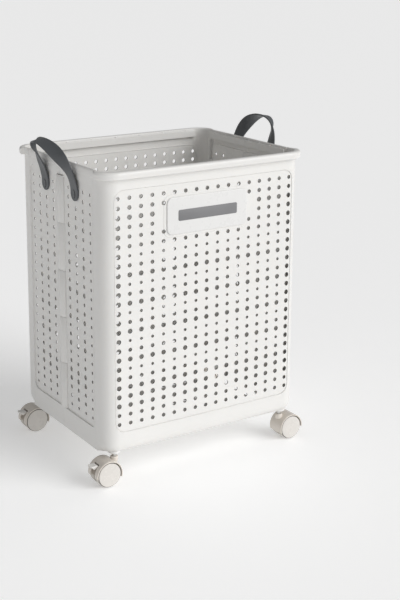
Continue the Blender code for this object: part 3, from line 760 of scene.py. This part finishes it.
def build_caster(tag, sx, sy):
    braked = sx < 0
    ox, oy = sx * 195.0, sy * 154.0
    body = f"caster_{tag}"

    def put(x, y, z):
        return (ox + sx * x, oy + y, z)

    # hood: arched band with rolled edges, narrowing to side cheeks round the brake opening
    b = Build()

    def band(a_from, a_to, y_low, y_high, steps, roll_low=True, roll_high=True):
        rings = []
        for k in range(steps + 1):
            a = math.radians(a_from + (a_to - a_from) * k / steps)
            ca, sa = math.cos(a), math.sin(a)
            e = 0.9
            prof = []
            if roll_low:
                prof += [(25.3, y_low + 0.25), (25.6, y_low), (26.8, y_low), (27.2, y_low + 0.3), (HOOD_R, y_low + 1.1)]
            else:
                prof += [(25.3, y_low), (HOOD_R, y_low)]
            if y_high - y_low > 20:
                prof += [(HOOD_R, y_low + 5), (HOOD_R, 0.0), (HOOD_R, y_high - 5)]
            if roll_high:
                prof += [(HOOD_R, y_high - 1.1), (27.2, y_high - 0.3), (26.8, y_high), (25.6, y_high), (25.3, y_high - 0.25)]
            else:
                prof += [(HOOD_R, y_high), (25.3, y_high)]
            rings.append([put(TRAIL + r * ca, y, WHEEL_R + r * sa) for r, y in prof])
        b.loft(rings)

    if braked:
        band(51, 198, -19.0, 19.0, 36)
        band(-6, 52.5, -19.0, -8.6, 14, True, False)
        band(-6, 52.5, 8.6, 19.0, 14, False, True)
    else:
        band(-6, 198, -19.0, 19.0, 50)
    # middle web and stem boss
    web = [(TRAIL + 26.3 * math.cos(math.radians(a)), WHEEL_R + 26.3 * math.sin(math.radians(a))) for a in range(54, 198, 6)]
    web += [(-5.5, 14.5), (2.0, 12.2), (12.0, 11.6), (22.0, 13.5), (29.0, 20.0), (31.0, 30.0)]
    b.prism(web, lambda x, z, y: put(x, y, z), -2.6, 2.6)
    boss = [(7.0, 43.0), (7.6, 44.6), (7.6, 52.4), (7.2, 53.1), (6.6, 53.4), (4.4, 53.4), (4.3, 50.0), (0.02, 50.0)]
    rings = [[put(r * math.cos(2 * math.pi * k / 32), r * math.sin(2 * math.pi * k / 32), z) for k in range(32)] for r, z in boss]
    b.loft(rings)
    neck = [(9.6, 41.0), (9.0, 44.0), (8.0, 46.5), (7.4, 48.0)]
    b.loft([[put(2.0 * max(0.0, (48.0 - z) / 7.0) + r * math.cos(2 * math.pi * k / 32) * (1.0 if math.cos(2 * math.pi * k / 32) > 0 else 0.75), r * math.sin(2 * math.pi * k / 32) * 0.8, max(z, WHEEL_R + 19.6 if math.cos(2 * math.pi * k / 32) < 0 else z)) for k in range(32)] for r, z in neck])
    make(f"caster_{tag}_hood_visual", b.verts, b.faces, [CREAM], body, [f"caster_{tag}_hood"], smooth=42)
    # painted shade: a strip of darkened cream behind the wheel's edge, in the brake opening, stands in for the shadow
    # inside the hood
    b = Build()
    rings = []
    for k in range(13 if braked else 0):
        a = math.radians(2 + 46 * k / 12)
        ca, sa = math.cos(a), math.sin(a)
        rings.append([put(TRAIL + r * ca, y, WHEEL_R + r * sa) for r, y in ((24.9, -8.2), (25.5, -8.2), (25.5, 8.2), (24.9, 8.2))])
    if braked:
        b.loft(rings)
        make(f"caster_{tag}_painted_shade_strip", b.verts, b.faces, [SHADE], body, smooth=40)
    # wheels
    for label, s in (("outer", sy), ("inner", -sy)):
        b = Build()
        prof = [(3.3, 3.4), (8.5, 3.4), (9.0, 4.6), (19.5, 4.6), (20.0, 3.4), (22.8, 3.4), (23.9, 3.8), (24.45, 5.0), (WHEEL_R, 7.0), (WHEEL_R, 14.6), (24.3, 16.2), (23.9, 16.9),
                (23.3, 17.0), (23.1, 17.5), (22.7, 17.9), (21.9, 18.1), (14.0, 18.35), (6.0, 18.45), (3.4, 18.5), (0.4, 18.5), (0.4, 3.4)]
        # faces 10 to 12 take the dark ring colour, painted shade in the groove at the tread's edge
        mats = [0] * 4 + [1] * 6 + [2] * 3 + [0] * 8
        lathe(b, [(r, s * y) for r, y in prof], TRAIL, WHEEL_R, 56, put, mats)
        make(f"caster_{tag}_wheel_{label}_visual", b.verts, b.faces, [WHEEL, TREAD, WHEEL_RING_SHADE], f"wheel_{tag}_{label}", [f"caster_{tag}_wheel_{label}"], smooth=35, face_mats=b.mats)
    if not braked:
        return
    # brake lever: dished tab with rounded nose
    b = Build()
    pivot = (TRAIL + 20.6, WHEEL_R + 18.4)
    rings = []
    for y, inset in ((-7.6, 1.4), (-7.3, 0.6), (-6.6, 0.15), (-5.0, 0.0), (0.0, 0.0), (5.0, 0.0), (6.6, 0.15), (7.3, 0.6), (7.6, 1.4)):
        round_nose = 0.07 * y * y
        sink = 0.5 * (1 - (y / 7.6) ** 2)
        prof = [(pivot[0] - 1.5 + inset * 0.4, 42.3 + inset * 0.4), (pivot[0] + 1.5, 40.2 + inset * 0.5), (pivot[0] + 3.6, 38.9 + inset), (pivot[0] + 6.3, 37.8 + inset), (pivot[0] + 8.6 - inset * 0.5, 39.2 + inset * 0.6),
                (pivot[0] + 11.4 - round_nose * 0.4, 41.4 + inset * 0.4), (55.2 - round_nose, 43.3 + inset * 0.3), (55.8 - round_nose, 44.5), (55.2 - round_nose, 45.6 - inset * 0.3),
                (pivot[0] + 12.0 - round_nose * 0.5, 45.5 - sink - inset * 0.3), (pivot[0] + 7.0, 45.2 - sink - inset * 0.3), (pivot[0] + 2.0, 45.5 - inset * 0.5), (pivot[0] - 0.6, 44.8 - inset * 0.5)]
        rings.append([put(x, y, z) for x, z in prof])
    b.loft(rings)
    make(f"caster_{tag}_brake_visual", b.verts, b.faces, [LEVER], f"brake_{tag}", [f"caster_{tag}_brake"], smooth=48)


for tag, sx, sy in (("fl", -1, -1), ("fr", 1, -1), ("rl", -1, 1), ("rr", 1, 1)):
    build_caster(tag, sx, sy)

# ------------------------------------------------------------------ carried-over CAD nodes
for name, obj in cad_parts.items():
    if name.endswith(("_pin", "_stem", "_axle")):
        mat = STEEL
    elif name.endswith("_socket"):
        mat = SOCKET
    elif name.endswith("_stud"):
        mat = STUD
    else:
        continue
    obj.data.materials.clear()
    obj.data.materials.append(mat)

# ------------------------------------------------------------------ floor, light and camera
bpy.ops.mesh.primitive_plane_add(size=120, location=(0, 0, -0.0002))
ground = bpy.context.object
ground.name = "studio_floor"
mat, tree, bsdf = nodes_of("studio_floor")
bsdf.inputs["Base Color"].default_value = (0.93, 0.93, 0.93, 1)
bsdf.inputs["Roughness"].default_value = 0.85
bsdf.inputs["Emission Color"].default_value = (1, 1, 1, 1)
bsdf.inputs["Emission Strength"].default_value = 0.27
ground.data.materials.append(mat)

world = bpy.data.worlds.new("studio")
world.use_nodes = True
world.node_tree.nodes["Background"].inputs["Color"].default_value = (1, 1, 1, 1)
world.node_tree.nodes["Background"].inputs["Strength"].default_value = 0.30
bpy.context.scene.world = world


def area(name, location, target, size, power, colour=(1, 1, 1)):
    light = bpy.data.lights.new(name, "AREA")
    light.shape = "RECTANGLE"
    light.size, light.size_y = size
    light.energy = power
    light.color = colour
    obj = bpy.data.objects.new(name, light)
    obj.location = location
    obj.rotation_euler = (Vector(target) - Vector(location)).to_track_quat("-Z", "Y").to_euler()
    bpy.context.scene.collection.objects.link(obj)


sun = bpy.data.lights.new("soft_key", "SUN")
sun.energy = 1.98
sun.angle = math.radians(50)
sun_obj = bpy.data.objects.new("soft_key", sun)
sun_obj.rotation_euler = Vector((-0.44, 0.66, -0.42)).to_track_quat("-Z", "Y").to_euler()
bpy.context.scene.collection.objects.link(sun_obj)
area("corner_glint", (-1.5, -1.6, 0.5), (-0.2, -0.15, 0.3), (0.12, 1.4), 1.3)

bpy.context.scene.view_settings.view_transform = "Standard"

cam = bpy.data.cameras.new("camera")
camera = bpy.data.objects.new("camera", cam)
bpy.context.scene.collection.objects.link(camera)
CAM = dict(pos=(-1.2202457, -1.9792493, 1.0072386), yaw=0.5566, pitch=0.2245, f=1189.95, shift_y=-0.15, shift_x=0.0607)
camera.location = CAM["pos"]
forward = Vector((math.sin(CAM["yaw"]) * math.cos(CAM["pitch"]), math.cos(CAM["yaw"]) * math.cos(CAM["pitch"]), -math.sin(CAM["pitch"])))
camera.rotation_euler = forward.to_track_quat("-Z", "Y").to_euler()
cam.sensor_fit = "VERTICAL"
cam.sensor_height = 36.0
cam.lens = 36.0 * CAM["f"] / 600.0
cam.shift_y = CAM["shift_y"]
cam.shift_x = CAM["shift_x"]
cam.clip_end = 50.0
bpy.context.scene.camera = camera

bpy.context.view_layer.update()
